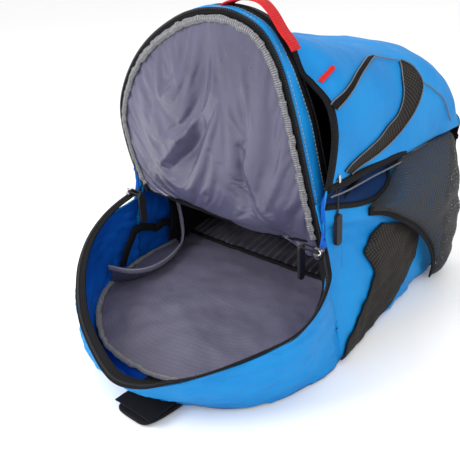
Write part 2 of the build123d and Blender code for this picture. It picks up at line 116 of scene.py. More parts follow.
def normals_of(sheet):
    """Unit normals of a grid of points."""
    along = np.gradient(sheet, axis=0)
    across = np.gradient(sheet, axis=1)
    normals = np.cross(along, across)
    return normals / np.maximum(np.linalg.norm(normals, axis=2, keepdims=True), 1e-9)


def facing(sheet, row, column, axis, sign=1):
    """The sheet, turned over if its normal at one point doesn't point that way along an axis."""
    return sheet[:, ::-1] if normals_of(sheet)[row, column, axis] * sign < 0 else sheet


def between(first, second, share):
    """Sheet of straight lines from one curve to another, with points at these shares."""
    return first[:, None] + (second - first)[:, None] * share[None, :, None]


def bumps(points, size, seed, octaves=2):
    """Smooth noise from -1 to 1 at each point, with features about `size` across."""
    flat = np.zeros((points[..., 0].size, 3))
    flat[:, : points.shape[-1]] = points.reshape(-1, points.shape[-1]) / size
    flat += seed * 7.31
    values = [
        noise.fractal(Vector(place), 0.8, 2.0, octaves, noise_basis="PERLIN_ORIGINAL")
        for place in flat
    ]
    return np.array(values).reshape(points.shape[:-1])


def raised(sheet, height):
    """The sheet moved along its normals by a height for each point."""
    return sheet + normals_of(sheet) * np.asarray(height)[..., None]


def inset(outline, distance):
    """A flat open outline (x, t) moved inwards; inwards is left of its direction."""
    outline = np.array(outline, float)
    along = np.gradient(outline, axis=0)
    along /= np.maximum(np.linalg.norm(along, axis=1, keepdims=True), 1e-9)
    inwards = np.stack([-along[:, 1], along[:, 0]], axis=1)
    return outline + inwards * np.reshape(distance, (-1, 1))


# ------------------------------------------------------------------ making pieces
def make(name, verts, faces, mats, body="pack", uvs=None, picks=None, replaces=(), slot=None):
    """A mesh piece from points in millimetres, riding on a body."""
    mesh = bpy.data.meshes.new(name)
    mesh.from_pydata([tuple(v) for v in np.array(verts) * MM], [], [tuple(f) for f in faces])
    mesh.update()
    for material in mats:
        mesh.materials.append(material)
    if picks is not None:
        mesh.polygons.foreach_set("material_index", np.array(picks, dtype=np.int32))
    mesh.polygons.foreach_set("use_smooth", np.ones(len(faces), dtype=bool))
    if uvs is not None:
        layer = mesh.uv_layers.new(name="cloth")
        corners = np.empty(len(mesh.loops), dtype=np.int32)
        mesh.loops.foreach_get("vertex_index", corners)
        layer.data.foreach_set("uv", (np.array(uvs)[corners] * MM).ravel())
    mesh.validate()
    piece = bpy.data.objects.new(name, mesh)
    bpy.context.collection.objects.link(piece)
    if isinstance(body, tuple):
        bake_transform(piece)
    elif body:
        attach(piece, body)
    if replaces:
        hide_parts(*replaces)
    return piece


def sheet_parts(grid, thick):
    """Vertices, faces, UVs and a front/back/edge mark for a grid given a thickness."""
    rows, columns = grid.shape[:2]
    back = grid - normals_of(grid) * thick
    verts = np.vstack([grid.reshape(-1, 3), back.reshape(-1, 3)])
    size = rows * columns
    index = np.arange(size).reshape(rows, columns)
    quads = np.stack(
        [index[:-1, :-1], index[1:, :-1], index[1:, 1:], index[:-1, 1:]], axis=-1
    ).reshape(-1, 4)
    rim = np.concatenate([index[0, :], index[1:, -1], index[-1, -2::-1], index[-2:0:-1, 0]])
    following = np.roll(rim, -1)
    border = np.stack([rim, following, following + size, rim + size], axis=1)
    faces = np.vstack([quads, quads[:, ::-1] + size, border])
    marks = [0] * len(quads) + [1] * len(quads) + [0] * len(border)
    u_step = np.linalg.norm(np.diff(grid, axis=0), axis=2).mean(axis=1)
    v_step = np.linalg.norm(np.diff(grid, axis=1), axis=2).mean(axis=0)
    u_place = np.r_[0, np.cumsum(u_step)]
    v_place = np.r_[0, np.cumsum(v_step)]
    uv = np.stack(np.meshgrid(u_place, v_place, indexing="ij"), axis=-1).reshape(-1, 2)
    return verts, faces, np.vstack([uv, uv]), marks


def cloth(name, grid, thick, mats, body="pack", **extra):
    """A piece of fabric from a grid of points. The second material is its inside."""
    verts, faces, uvs, marks = sheet_parts(grid, thick)
    picks = marks if len(mats) > 1 else None
    return make(name, verts, faces, mats, body, uvs=uvs, picks=picks, **extra)


def frames_along(line, upward):
    """Tangents, side vectors and up vectors along a line; `upward` is a vector or one per point."""
    tangent = np.gradient(line, axis=0)
    tangent /= np.maximum(np.linalg.norm(tangent, axis=1, keepdims=True), 1e-9)
    up = np.broadcast_to(np.array(upward, float), line.shape)
    side = np.cross(tangent, up)
    side /= np.maximum(np.linalg.norm(side, axis=1, keepdims=True), 1e-9)
    return tangent, side, np.cross(side, tangent)


def swept_parts(line, upward, profile, scale=1.0):
    """Vertices, faces and UVs of a closed section swept along a line."""
    _, side, up = frames_along(line, upward)
    profile = np.array(profile, float)
    scale = np.broadcast_to(np.reshape(scale, (-1, 1, 1)), (len(line), 1, 1))
    ring = (side[:, None] * profile[None, :, :1] + up[:, None] * profile[None, :, 1:]) * scale
    verts = (line[:, None] + ring).reshape(-1, 3)
    count = len(profile)
    index = np.arange(len(line) * count).reshape(len(line), count)
    turned = np.roll(index, -1, axis=1)
    quads = np.stack([index[:-1], index[1:], turned[1:], turned[:-1]], axis=-1).reshape(-1, 4)
    faces = [tuple(q) for q in quads] + [tuple(index[0]), tuple(index[-1][::-1])]
    around = np.r_[0, np.cumsum(np.linalg.norm(np.diff(profile, axis=0), axis=1))]
    along = np.r_[0, np.cumsum(np.linalg.norm(np.diff(line, axis=0), axis=1))]
    uv = np.stack(np.meshgrid(along, around, indexing="ij"), axis=-1).reshape(-1, 2)
    return verts, faces, uv


def swept(name, line, upward, profile, mats, body="pack", scale=1.0, **extra):
    """A piece made by sweeping a closed section along a line."""
    verts, faces, uvs = swept_parts(np.array(line, float), upward, profile, scale)
    return make(name, verts, faces, mats, body, uvs=uvs, **extra)


def oval(width, height, count=12):
    """Oval section."""
    turn = np.linspace(0, 2 * math.pi, count, endpoint=False)
    return np.stack([np.cos(turn) * width / 2, np.sin(turn) * height / 2], axis=1)


def slab(width, height, bevel=0.4):
    """Flat section with bevelled corners, for webbing and tape."""
    w, h = width / 2, height / 2
    return [
        (-w, -h + bevel), (-w + bevel, -h), (w - bevel, -h), (w, -h + bevel),
        (w, h - bevel), (w - bevel, h), (-w + bevel, h), (-w, h - bevel),
    ]


def joined(parts):
    """Several (verts, faces) lists as one."""
    verts, faces, start = [], [], 0
    for part_verts, part_faces in parts:
        verts.append(np.array(part_verts, float))
        faces += [tuple(np.array(face) + start) for face in part_faces]
        start += len(part_verts)
    return np.vstack(verts), faces


def box_parts(centre, axes, sizes):
    """A small box: centre, three unit axes and three sizes."""
    corners = np.array([(x, y, z) for x in (-1, 1) for y in (-1, 1) for z in (-1, 1)]) / 2
    verts = centre + (corners * np.array(sizes)) @ np.array(axes)
    faces = [(0, 1, 3, 2), (4, 6, 7, 5), (0, 4, 5, 1), (2, 3, 7, 6), (0, 2, 6, 4), (1, 5, 7, 3)]
    return verts, faces


def teeth(name, line, upward, out, mats, body="pack", pitch=2.4, size=(1.5, 2.6, 1.5), **extra):
    """A row of coil teeth along a line, standing `out` mm beyond it to one side."""
    length = np.linalg.norm(np.diff(line, axis=0), axis=1).sum()
    line = resample(line, max(3, int(length / pitch)))
    tangent, side, up = frames_along(line, upward)
    parts = [box_parts(p + s * out, (t, s, u), size) for p, t, s, u in zip(line, tangent, side, up)]
    verts, faces = joined(parts)
    return make(name, verts, faces, mats, body, **extra)


# ------------------------------------------------------------------ materials
def nodes_of(name, roughness=0.7, sheen=0.0, metallic=0.0, specular=0.4):
    """A new material with its tree, its shader and a helper that adds nodes."""
    material = bpy.data.materials.new(name)
    material.use_nodes = True
    tree = material.node_tree
    shader = tree.nodes["Principled BSDF"]
    shader.inputs["Roughness"].default_value = roughness
    shader.inputs["Metallic"].default_value = metallic
    shader.inputs["Sheen Weight"].default_value = sheen
    shader.inputs["Sheen Roughness"].default_value = 0.4
    shader.inputs["Specular IOR Level"].default_value = specular

    def add(kind, links=(), **values):
        node = tree.nodes.new(kind)
        for key, value in values.items():
            if hasattr(node, key):
                setattr(node, key, value)
            else:
                node.inputs[key.replace("_", " ")].default_value = value
        for target, source in links:
            tree.links.new(source, node.inputs[target])
        return node

    return material, tree, shader, add


def maths(add, operation, *values):
    """One maths node; its values are sockets or numbers."""
    node = add("ShaderNodeMath", operation=operation)
    for socket, value in zip(node.inputs, values):
        if isinstance(value, (int, float)):
            socket.default_value = value
        else:
            node.id_data.links.new(value, socket)
    return node.outputs[0]


def wave(add, vector, axis, pitch):
    """A sine from 0 to 1 along one axis of a vector in metres."""
    part = add("ShaderNodeSeparateXYZ", [(0, vector)])
    sine = maths(add, "SINE", maths(add, "MULTIPLY", part.outputs[axis], 2 * math.pi / pitch))
    return maths(add, "MULTIPLY_ADD", sine, 0.5, 0.5)


def shaded(add, factor, low, dark, high, colour):
    """Colour that runs from `dark` at `low` to `colour` at `high`."""
    ramp = add("ShaderNodeValToRGB", [(0, factor)])
    for stop, place, tint in zip(ramp.color_ramp.elements, (low, high), (dark, colour)):
        stop.position = place
        stop.color = (*tint, 1)
    return ramp.outputs[0]


def bump(add, height, strength, distance, under=None, **extra):
    """A bump node on top of another one."""
    links = [("Height", height)] + ([("Normal", under)] if under else [])
    node = add("ShaderNodeBump", links, Strength=strength, Distance=distance, **extra)
    return node.outputs[0]


def woven(name, colour, dark, pitch=0.0011, roughness=0.62, sheen=0.25, weave=0.25, soft=0.3,
          crease=45.0, mottle=14.0, specular=0.35):
    """Woven cloth: crossing threads, soft creases and slightly uneven colour."""
    material, tree, shader, add = nodes_of(name, roughness, sheen, specular=specular)
    shader.inputs["Sheen Tint"].default_value = (*[min(1, c * 1.4 + 0.2) for c in colour], 1)
    uv = add("ShaderNodeTexCoord").outputs["UV"]
    place = add("ShaderNodeTexCoord").outputs["Object"]
    threads = maths(add, "MULTIPLY", wave(add, uv, 0, pitch), wave(add, uv, 1, pitch))
    mottles = add("ShaderNodeTexNoise", [("Vector", place)], Scale=mottle, Detail=4.0)
    shade = maths(add, "MULTIPLY_ADD", threads, 0.25, mottles.outputs[0])
    tree.links.new(shaded(add, shade, 0.3, dark, 0.75, colour), shader.inputs["Base Color"])
    creases = add("ShaderNodeTexNoise", [("Vector", place)], Scale=crease, Detail=3.0)
    fine = bump(add, threads, weave, 0.0004)
    broad = bump(add, creases.outputs[0], soft, 0.004, fine)
    tree.links.new(broad, shader.inputs["Normal"])
    rough = maths(add, "MULTIPLY_ADD", mottles.outputs[0], 0.2, roughness - 0.1)
    tree.links.new(rough, shader.inputs["Roughness"])
    return material


def ribbed(name, colour, dark, pitch=0.0016, axis=0, roughness=0.7, depth=0.0005, sheen=0.15,
           specular=0.3):
    """Tape, webbing or binding: ribs across it and a little fuzz."""
    material, tree, shader, add = nodes_of(name, roughness, sheen, specular=specular)
    uv = add("ShaderNodeTexCoord").outputs["UV"]
    place = add("ShaderNodeTexCoord").outputs["Object"]
    ribs = wave(add, uv, axis, pitch)
    cross = wave(add, uv, 1 - axis, pitch * 1.7)
    mix = maths(add, "MULTIPLY_ADD", cross, 0.35, ribs)
    fuzz = add("ShaderNodeTexNoise", [("Vector", place)], Scale=380.0, Detail=4.0)
    blend = maths(add, "MULTIPLY", mix, fuzz.outputs[0])
    tree.links.new(shaded(add, blend, 0.1, dark, 0.65, colour), shader.inputs["Base Color"])
    fuzzy = bump(add, fuzz.outputs[0], 0.25, 0.001, bump(add, mix, 0.6, depth))
    tree.links.new(fuzzy, shader.inputs["Normal"])
    return material


def netting(name, thread, hole, pitch, open_alpha=None, thread_share=0.5, roughness=0.6,
            specular=0.12):
    """Mesh cloth: staggered round holes between threads, see-through where `open_alpha` is set."""
    material, tree, shader, add = nodes_of(name, roughness, 0.0, specular=specular)
    uv = add("ShaderNodeTexCoord").outputs["UV"]
    turned = add("ShaderNodeMapping", [("Vector", uv)])
    turned.inputs["Rotation"].default_value[2] = math.radians(45)
    u_wave = wave(add, turned.outputs[0], 0, pitch)
    v_wave = wave(add, turned.outputs[0], 1, pitch)
    holes = maths(add, "MULTIPLY", u_wave, v_wave)
    low = thread_share * 0.5
    tree.links.new(shaded(add, holes, low, thread, low + 0.15, hole), shader.inputs["Base Color"])
    tree.links.new(bump(add, holes, 0.8, 0.0006, invert=True), shader.inputs["Normal"])
    if open_alpha is not None:
        clear = add("ShaderNodeMapRange", [("Value", holes)], From_Min=low, From_Max=low + 0.12,
                    To_Min=1.0, To_Max=open_alpha)
        tree.links.new(clear.outputs[0], shader.inputs["Alpha"])
    return material


def hard(name, colour, roughness, metallic=0.0, grain=500.0, depth=0.0002, specular=0.2):
    """Moulded rubber, plastic or cast metal with a fine grain."""
    material, tree, shader, add = nodes_of(name, roughness, 0.0, metallic, specular)
    place = add("ShaderNodeTexCoord").outputs["Object"]
    grains = add("ShaderNodeTexNoise", [("Vector", place)], Scale=grain, Detail=3.0)
    tint = shaded(add, grains.outputs[0], 0, [c * 0.75 for c in colour], 1, colour)
    tree.links.new(tint, shader.inputs["Base Color"])
    tree.links.new(bump(add, grains.outputs[0], 0.3, depth), shader.inputs["Normal"])
    return material


BLUE = woven("blue_ripstop", (0.004, 0.215, 0.53), (0.002, 0.150, 0.42), roughness=0.6, sheen=0.0,
             specular=0.2)
# blue side cloth darkened as painted shade, for the strip that lies in shadow under the panel's
# bulge
BLUE_IN_PAINTED_SHADE = woven("blue_side_cloth_painted_shade", (0.001, 0.018, 0.075), (0.001, 0.010, 0.045), sheen=0.0,
             specular=0.1)
BLUE_INSIDE = woven("blue_coated_inside", (0.001, 0.085, 0.44), (0.001, 0.055, 0.32), roughness=0.5,
                    sheen=0.0, specular=0.2)
LINING = woven("satin_lining", (0.078, 0.075, 0.130), (0.046, 0.044, 0.080), pitch=0.0009,
               roughness=0.30, sheen=0.05, weave=0.10, soft=0.3, crease=30.0, specular=0.5)
RIBBED_LINING = ribbed("ribbed_back_lining", (0.094, 0.088, 0.132), (0.082, 0.077, 0.116),
                       pitch=0.0034, axis=1, roughness=0.42, depth=0.00006, sheen=0.05)
# black cloth; on the divider and on the sheets inside the side walls it is painted shade
DARK = woven("black_cloth_and_painted_shade", (0.009, 0.009, 0.012), (0.004, 0.004, 0.006), roughness=0.75, sheen=0.0,
             specular=0.08)
GATHERED = woven("dark_gathered_cloth", (0.075, 0.070, 0.090), (0.040, 0.037, 0.050),
                 roughness=0.42, sheen=0.0)
BINDING = ribbed("grey_binding", (0.24, 0.24, 0.255), (0.07, 0.07, 0.078), pitch=0.0022,
                 roughness=0.75)
PIPING = ribbed("grey_piping", (0.16, 0.17, 0.19), (0.06, 0.065, 0.075), pitch=0.002)
WEBBING = ribbed("black_webbing", (0.011, 0.011, 0.013), (0.004, 0.004, 0.005), pitch=0.0022,
                 sheen=0.0, specular=0.1)
TAPE = ribbed("black_zip_tape", (0.010, 0.010, 0.011), (0.003, 0.003, 0.004), pitch=0.0016,
              sheen=0.0, specular=0.1)
TRIM = ribbed("lining_trim", (0.165, 0.16, 0.215), (0.12, 0.115, 0.155), pitch=0.002)
TEETH = hard("black_coil", (0.016, 0.016, 0.018), 0.35)
RED = ribbed("red_webbing", (0.58, 0.008, 0.012), (0.34, 0.004, 0.006), pitch=0.0022, sheen=0.0)
THREAD = ribbed("pale_thread", (0.42, 0.38, 0.30), (0.25, 0.22, 0.18), pitch=0.0012)
MESH = netting("black_spacer_mesh", (0.006, 0.006, 0.006), (0.045, 0.036, 0.030), 0.0032)
AIR_MESH = netting("black_air_mesh", (0.010, 0.010, 0.011), (0.028, 0.028, 0.030), 0.0042)
NET = netting("dark_net", (0.030, 0.030, 0.033), (0.03, 0.03, 0.034), 0.0034, open_alpha=0.0,
              thread_share=0.5, specular=0.25)
METAL = hard("satin_nickel", (0.60, 0.60, 0.62), 0.28, metallic=1.0)
RUBBER = hard("black_rubber", (0.018, 0.018, 0.020), 0.55)
PLASTIC = hard("black_plastic", (0.022, 0.022, 0.025), 0.4)


def dress(name, material):
    """Gives a CAD node that stays in view its material."""
    for place in frame["nodes"][name].material_slots:
        place.material = material


for side in SIDES:
    dress(f"main_slider_{side}", METAL)
    dress(f"main_pull_{side}", RUBBER)
    dress(f"ladder_lock_{side}", PLASTIC)
dress("front_slider", METAL)
dress("front_pull", RUBBER)

# ------------------------------------------------------------------ lid and rim planes
LID_RISE = math.radians(84.2)
RIM_DROP = math.radians(20.65)
GUSSET = 22.0


def on_lid(flat, forward=0.0):
    """Points (x, t) on the open lid's plane, `forward` mm towards the viewer's side."""
    flat = np.array(flat, float)
    x, t = flat[..., 0], flat[..., 1]
    y = -t * math.cos(LID_RISE) - forward * math.sin(LID_RISE)
    z = FOLD_TOP + t * math.sin(LID_RISE) - forward * math.cos(LID_RISE)
    return np.stack(np.broadcast_arrays(x, y, z), axis=-1)


def on_rim(flat, above=0.0):
    """Points (x, t) on the mouth's plane, which slopes down towards the pack's top."""
    flat = np.array(flat, float)
    x, t = flat[..., 0], flat[..., 1]
    y = -t * math.cos(RIM_DROP) - above * math.sin(RIM_DROP)
    z = FOLD_TOP - t * math.sin(RIM_DROP) + above * math.cos(RIM_DROP)
    return np.stack(np.broadcast_arrays(x, y, z), axis=-1)


LID_OUTLINE = path(
    [
        (142, 0), (137, 32), (128, 88), (120, 135), (108, 182), (90, 212), (62, 227), (33, 231),
        (-2, 227), (-36, 215), (-72, 196), (-104, 171), (-131, 140), (-147, 110), (-151, 80),
        (-147, 43), (-137, 16), (-128, 2),
    ],
    161,
)
RIM_OUTLINE = path(
    [
        (143, 0), (164, 24), (178, 44), (188, 78), (186, 108), (172, 134), (142, 175), (117, 199),
        (92, 218), (64, 227), (36, 223), (-9, 206), (-46, 187), (-84, 159), (-116, 128),
        (-141, 90), (-152, 50), (-149, 14), (-141, 0),
    ],
    181,
)


# ------------------------------------------------------------------ main body wall
BASE_Y = 283.0
WALL_HEIGHTS = (191, 178, 165, 120, 60, 15, 3)
# half widths of the side wall at those heights, at four places from the base to the fold
SIDE_WALL = [
    (BASE_Y, (141, 140, 141, 142, 142, 141, 136)),
    (150, (150, 143, 149, 152, 157, 156, 150)),
    (70, (150, 140, 149, 151, 158, 162, 158)),
    (25, (150, 140, 147, 147, 157, 169, 166)),
    (-2, (150, 143, 146, 145, 160, 173, 170)),
]
# where the wall stands on the ground below each chosen place of the rim, and its bulge
WALL_FEET = [
    (0.0, (171, -10), 2),
    (0.05, (173, -24), 2),
    (0.13, (168, -56), 4),
    (0.21, (158, -92), 5),
    (0.31, (124, -138), 6),
    (0.42, (68, -160), 8),
    (0.53, (8, -164), 8),
    (0.64, (-48, -152), 8),
    (0.76, (-102, -112), 8),
    (0.89, (-146, -42), 8),
    (1.0, (-160, -6), 6),
]
WALL_STEPS = (0, 0.07, 0.14, 0.37, 0.7, 0.93, 1.0)


def wall_grid():
    """The main body's outer fabric, from the base along the near side, round the top and back."""
    rim = on_rim(RIM_OUTLINE)
    near = [[(x, y, z) for x, z in zip(xs, WALL_HEIGHTS)] for y, xs in SIDE_WALL]
    round_top = []
    for share, (foot_x, foot_y), bulge in WALL_FEET:
        top = rim[int(share * (len(rim) - 1))]
        foot = np.array([foot_x, foot_y, 3.0])
        outward = np.array([foot_x, min(foot_y, -5), 0.0])
        outward /= np.linalg.norm(outward)
        column = []
        for step in WALL_STEPS:
            place = top + (foot - top) * step
            column.append(place + outward * bulge * math.sin(math.pi * step))
        round_top.append(column)
    far = [[(-x, y, z) for x, y, z in column] for column in near]
    columns = np.array(near + round_top + far[::-1], float)
    rows = [spline(columns[:, i], 14) for i in range(len(WALL_STEPS))]
    return skin(rows, 9)


def wall_relief(grid):
    """Soft unevenness of the side walls, and the pinched fold beside the lid's hinge."""
    grid = grid.copy()
    grid[..., 0] = np.abs(grid[..., 0])
    fade = smooth(np.linspace(0, 1, grid.shape[0]), 0.0, 0.12)[:, None]
    height = fade * (bumps(grid, 75, 1) * 3.2 + bumps(grid, 26, 2) * 1.1)
    creased = 1 - np.abs(bumps(grid * (1.0, 0.7, 1.6), 34, 5)) * 2.2
    y, z = grid[..., 1], grid[..., 2]
    calm = 1 - smooth(z, 120, 145) * smooth(y, -25, 0)
    height += fade * calm * np.maximum(creased, 0) ** 2 * 2.6
    crest = 158 - 0.28 * y
    reach = smooth(y, -4, 20) * smooth(118 - y, 0, 60)
    height += reach * 4.5 * np.exp(-(((z - crest) / 9) ** 2))
    height -= reach * 5.0 * np.exp(-(((z - crest + 15) / 9) ** 2))
    lower = 118 - 0.9 * y
    height -= smooth(y, -30, 5) * smooth(70 - y, 0, 40) * 2.5 * np.exp(-(((z - lower) / 8) ** 2))
    return height


wall_plain = wall_grid()[:, ::-1]
wall = raised(wall_plain, wall_relief(wall_plain))
cloth("body_wall", wall, 2.0, [BLUE, BLUE_INSIDE], replaces=["body_shell"])
near_wall = wall[wall[..., 0] > 100].reshape(-1, 3)
near_normals = normals_of(wall)[wall[..., 0] > 100].reshape(-1, 3)


def on_side(flat, proud=0.0):
    """Points (y, z) carried onto the near side wall, standing `proud` mm off it."""
    flat = np.array(flat, float)
    found = []
    for y, z in flat.reshape(-1, 2):
        distance = (near_wall[:, 1] - y) ** 2 + (near_wall[:, 2] - z) ** 2
        closest = np.argsort(distance)[:6]
        weight = 1 / (distance[closest] + 2.0)
        weight /= weight.sum()
        x = (near_wall[closest, 0] * weight).sum()
        outward = (near_normals[closest] * weight[:, None]).sum(axis=0)
        outward *= math.copysign(1, outward[0]) / max(np.linalg.norm(outward), 1e-6)
        found.append(np.array([x, y, z]) + outward * proud)
    return np.array(found).reshape(*flat.shape[:-1], 3)


def mirrored(points):
    """Points mirrored to the pack's other side."""
    return np.array(points) * np.array([-1.0, 1.0, 1.0])


def on_both_sides(build):
    """Runs a builder for each side with its name and a function that places points there."""
    for side, sign in SIDES.items():
        place = (lambda points: np.array(points, float)) if sign > 0 else mirrored
        build(side, sign, place)


# black spacer mesh in an S curve beside the net pocket, from the net down to the ground
INSERT_FRONT = [(96, 124), (62, 104), (73, 82), (75, 67), (66, 53), (50, 42), (28, 31),
                (6, 21), (-6, 7)]
INSERT_REAR = [(182, 92), (177, 66), (164, 47), (143, 32), (122, 22), (104, 15),
               (86, 11), (66, 8), (44, 5)]
# second black seam, under the first one, and the strip of cloth between them, whose dark blue is
# painted shade
LOWER_SEAM = [(-2, 173), (22, 167), (50, 160), (80, 155), (98, 159), (112, 167),
              (124, 178), (136, 188)]
UPPER_SEAM = [(-3, 192), (36, 191), (84, 191.5), (137, 191), (203, 190), (262, 188), (281, 186)]


def side_details(side, sign, place):
    """Mesh insert, its edges, and the two seams of one side."""
    front, rear = path(INSERT_FRONT, 60), path(INSERT_REAR, 60)
    flat = between(front, rear, np.linspace(0, 1, 26))
    sheet = on_side(flat, 3.0)
    edge_fall = 1 - np.abs(np.linspace(-1, 1, 26)) ** 6
    sheet = raised(sheet, np.ones((60, 1)) * edge_fall * 0.6) if sign > 0 else sheet
    grid = place(sheet)
    grid = facing(grid, 30, 13, 0, sign)
    cloth(f"side_insert_{side}", grid, 1.2, [MESH], replaces=[f"side_mesh_{side}"])
    for number, flat_edge in enumerate((front, rear)):
        line = place(on_side(flat_edge, 2.6))
        swept(f"side_insert_edge_{number}_{side}", line, (sign, 0, 0), oval(2.2, 1.6, 8), [WEBBING])
    seam = place(on_side(path(UPPER_SEAM, 120), 1.0) + (0, 0, 1.0))
    swept(f"side_seam_{side}", seam, (sign, 0, 0), oval(8.5, 7.0, 12), [WEBBING],
          replaces=[f"seam_piping_{side}"], slot="piping_grey")
    cord = place(on_side(path(UPPER_SEAM, 120)[:70], 4.4) + (0, 0, -5.4))
    swept(f"side_piping_{side}", cord, (sign, 0, 0), oval(1.8, 1.8, 8), [PIPING])
    low = place(on_side(path(LOWER_SEAM, 70), 1.2))
    swept(f"lower_seam_{side}", low, (sign, 0, 0), oval(6.5, 4.0, 10), [WEBBING])
    upper_flat, lower_flat = path(UPPER_SEAM, 120)[:66], path(LOWER_SEAM, 70)
    lower_flat = resample(lower_flat, 66)
    strip = between(lower_flat, upper_flat, np.linspace(0, 1, 16))
    strip = place(on_side(strip, 1.0))
    strip = facing(strip, 30, 8, 0, sign)
    # the strip's dark blue is painted shade
    cloth(f"side_strip_{side}", strip, 1.0, [BLUE_IN_PAINTED_SHADE])


on_both_sides(side_details)

# ------------------------------------------------------------------ net side pockets
NET_MOUTH = [(153, 70, 146), (160, 92, 140), (166, 112, 128), (169, 140, 110), (170, 168, 86),
             (170, 190, 60), (167, 206, 34), (160, 216, 8)]
NET_SEAM = [(151, 72, 149), (151, 104, 160), (150, 120, 173), (149, 138, 187), (148, 180, 188),
            (146, 230, 188), (143, 274, 184), (141, 287, 150), (141, 288, 90), (141, 285, 30),
            (148, 262, 8), (157, 224, 5)]


def net_pocket(side, sign, place):
    """Net pocket: its bound mouth, and the net that bulges from it to the seams behind."""
    mouth, seam = path(NET_MOUTH, 90), path(NET_SEAM, 90)
    share = np.linspace(0, 1, 46)
    grid = between(mouth, seam, share)
    ends = np.sin(math.pi * np.linspace(0, 1, 90)) ** 0.55
    bulge = ends[:, None] * np.sin(math.pi * share ** 0.8)[None] ** 0.7 * 27
    folds = bumps(grid * (1.0, 0.45, 1.0), 30, 5) * 4.5 + bumps(grid, 16, 6) * 1.2
    grid[..., 0] += bulge + folds * ends[:, None] * np.sin(math.pi * share)[None] ** 0.5
    grid[..., 0] = np.minimum(grid[..., 0], 198)
    grid = place(grid)
    if sign < 0:
        grid = grid[:, ::-1]
    net = cloth(f"net_{side}", grid, 0.5, [NET], replaces=[f"side_net_{side}"])
    line = place(mouth + (1.0, 0, 0))
    swept(f"net_edge_{side}", line, (sign, 0, 0), slab(9.5, 2.2, 0.7), [WEBBING],
          replaces=[f"net_binding_{side}"])
    rim_cord = place(on_side(path([(140, 188.5), (170, 189), (203, 188.5)], 30), 3.5))
    swept(f"net_piping_{side}", rim_cord, (sign, 0, 0), oval(1.8, 1.8, 8), [PIPING])


# chosen to fit the modelled net's own area: the real cut can't be read from the photo
on_both_sides(net_pocket)


# ------------------------------------------------------------------ front pocket
def gusset_width(share):
    """Width of the lid's side strip: narrower towards the corner that is held up."""
    return GUSSET - 9 * smooth(share, 0.18, 0.34) + 9 * smooth(share, 0.55, 0.8)


lid_share = np.linspace(0, 1, len(LID_OUTLINE))
SEAM_Z = 190.0
# the part of the panel's front edge where the zip is undone, from the side seam upwards
ZIP_OPEN_EDGE = [(150, -5, 192), (150, 4, 222), (148, 9, 248), (138, 12, 273), (122, 7, 291)]


def arch(y, crest, half=151.0, power=3.8, base=SEAM_Z):
    """Cross-section of the front pocket's panel at y, from the near side to the far side."""
    angle = np.linspace(0, math.pi, 161)
    cosine, sine = np.cos(angle), np.sin(angle)
    x = half * np.sign(cosine) * np.abs(cosine) ** (2 / power)
    z = base + (crest - base) * np.abs(sine) ** (2 / power)
    return resample(np.stack([x, np.full_like(x, y), z], axis=1), 121)


def panel_front_edge():
    """Front edge of the outer panel: away from the lid near the slider, zipped to it elsewhere."""
    zipped = on_lid(LID_OUTLINE, -gusset_width(lid_share) - 7)
    keep = zipped[(lid_share > 0.27) & (lid_share < 0.93)]
    line = np.vstack([ZIP_OPEN_EDGE, keep[::6], [(-151, 6, 196), (-150, -3, 191)]])
    return path(line, 121)


PANEL_ROWS = [(28, 334), (62, 328), (100, 319), (145, 307), (190, 302), (228, 297), (254, 277),
              (270, 248), (281, 214)]
panel = skin([panel_front_edge()] + [arch(y, crest) for y, crest in PANEL_ROWS], 16)
along_panel = np.linspace(0, 1, panel.shape[0])[:, None]
panel_fade = smooth(along_panel, 0.02, 0.15)
panel = raised(panel, -panel_fade * (bumps(panel, 85, 11) * 4.0 + bumps(panel, 30, 12) * 1.0))
cloth("outer_panel", panel, 1.8, [BLUE, DARK], FLAP_BEND,
                    replaces=["front_pocket_panel", "front_pocket_flap"])


def on_panel(flat, proud=1.0):
    """Points (across, along) of the panel's own grid, each from 0 to 1, standing off it."""
    flat = np.array(flat, float)
    rows, columns = panel.shape[:2]
    surface = raised(panel, np.full(panel.shape[:2], proud))
    u = np.clip(flat[..., 1], 0, 1) * (rows - 1)
    v = np.clip(flat[..., 0], 0, 1) * (columns - 1)
    low_u = np.minimum(u.astype(int), rows - 2)
    low_v = np.minimum(v.astype(int), columns - 2)
    part_u, part_v = (u - low_u)[..., None], (v - low_v)[..., None]
    top = surface[low_u, low_v] * (1 - part_v) + surface[low_u, low_v + 1] * part_v
    bottom = surface[low_u + 1, low_v] * (1 - part_v) + surface[low_u + 1, low_v + 1] * part_v
    return top * (1 - part_u) + bottom * part_u


def panel_strip(name, first, second, count, mats, proud, **extra):
    """Sheet between two lines drawn in the panel's own coordinates."""
    first, second = path(first, count), path(second, count)
    grid = on_panel(between(first, second, np.linspace(0, 1, 14)), proud)
    facing = normals_of(grid)[count // 2, 7] @ (grid[count // 2, 7] - np.array([0, 120, 190]))
    if facing < 0:
        grid = grid[:, ::-1]
    cloth(name, grid, 1.0, mats, FLAP_BEND, **extra)


BAND_LINES = (
    [(0.150, 0.014), (0.194, 0.174), (0.240, 0.345)],
    [(0.143, 0.055), (0.193, 0.222), (0.243, 0.395)],
)
CURVE_LINES = (
    [(0.025, 0.104), (0.05, 0.229), (0.067, 0.312), (0.092, 0.382), (0.108, 0.41), (0.142, 0.438),
     (0.175, 0.452), (0.217, 0.486)],
    [(0.012, 0.150), (0.033, 0.312), (0.052, 0.400), (0.098, 0.478), (0.125, 0.508), (0.152, 0.533),
     (0.190, 0.528), (0.219, 0.497)],
)
PANEL_SEAMS = [*BAND_LINES, *CURVE_LINES,
               [(0.243, 0.370), (0.233, 0.438), (0.218, 0.492)],
               [(0.152, 0.535), (0.125, 0.60), (0.09, 0.68), (0.03, 0.76)]]


def on_panel_side(line, side):
    """A line in the panel's coordinates, turned over for the far side."""
    return line if side == "left" else [(1 - a, b) for a, b in line]


